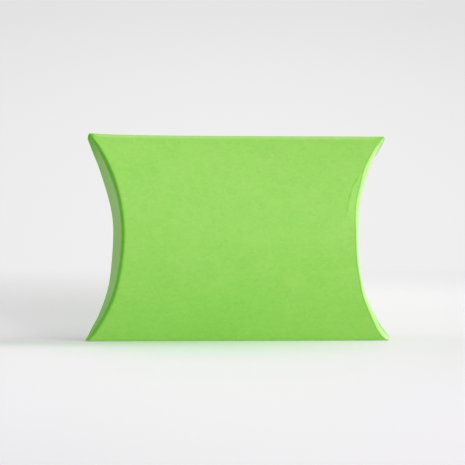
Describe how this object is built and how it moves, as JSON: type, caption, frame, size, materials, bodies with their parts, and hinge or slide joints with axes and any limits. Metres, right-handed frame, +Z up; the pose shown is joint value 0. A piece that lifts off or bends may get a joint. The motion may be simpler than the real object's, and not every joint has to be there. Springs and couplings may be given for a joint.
{
  "type": "pillow box",
  "caption": "Small pillow box of lime green dyed card, standing on its long seam fold, with bowed panels and curved closing flaps at each end that hinge open.",
  "frame": {"origin": "on the ground below the middle of the box, at the centre of its bounding box in X and Y", "axes": "+X along the long folds towards the right end, +Y from the front panel to the back panel, +Z up from the seam fold to the top fold"},
  "size_m": [0.1, 0.022, 0.0677],
  "materials": {
    "dyed_card": "uncoated dyed board, matte",
    "dried_glue": "dried adhesive, satin"
  },
  "bodies": {
    "sleeve": {"front_panel": "dyed_card", "back_panel": "dyed_card", "top_fold": "dyed_card", "seam_fold": "dyed_card", "glue_tab": "dyed_card", "glue_line": "dried_glue", "left_outer_crease": "dyed_card", "left_inner_crease": "dyed_card", "right_outer_crease": "dyed_card", "right_inner_crease": "dyed_card"},
    "left_outer": {"left_outer_flap": "dyed_card"},
    "left_inner": {"left_inner_flap": "dyed_card"},
    "right_outer": {"right_outer_flap": "dyed_card"},
    "right_inner": {"right_inner_flap": "dyed_card"}
  },
  "joints": [
    {"name": "left_outer_flap_hinge", "type": "hinge", "parent": "sleeve", "child": "left_outer", "pos_m": [-0.03955, -0.011, 0.0337], "axis": [0, 0, 1], "range_deg": [0, 100]},
    {"name": "left_inner_flap_hinge", "type": "hinge", "parent": "sleeve", "child": "left_inner", "pos_m": [-0.03895, 0.011, 0.0337], "axis": [0, 0, -1], "range_deg": [0, 60]},
    {"name": "right_outer_flap_hinge", "type": "hinge", "parent": "sleeve", "child": "right_outer", "pos_m": [0.03955, -0.011, 0.0337], "axis": [0, 0, -1], "range_deg": [0, 100]},
    {"name": "right_inner_flap_hinge", "type": "hinge", "parent": "sleeve", "child": "right_inner", "pos_m": [0.03895, 0.011, 0.0337], "axis": [0, 0, 1], "range_deg": [0, 60]}
  ],
  "couplings": [
    {"joint": "left_inner_flap_hinge", "follows": "left_outer_flap_hinge", "ratio": 0.6},
    {"joint": "right_inner_flap_hinge", "follows": "right_outer_flap_hinge", "ratio": 0.6}
  ]
}
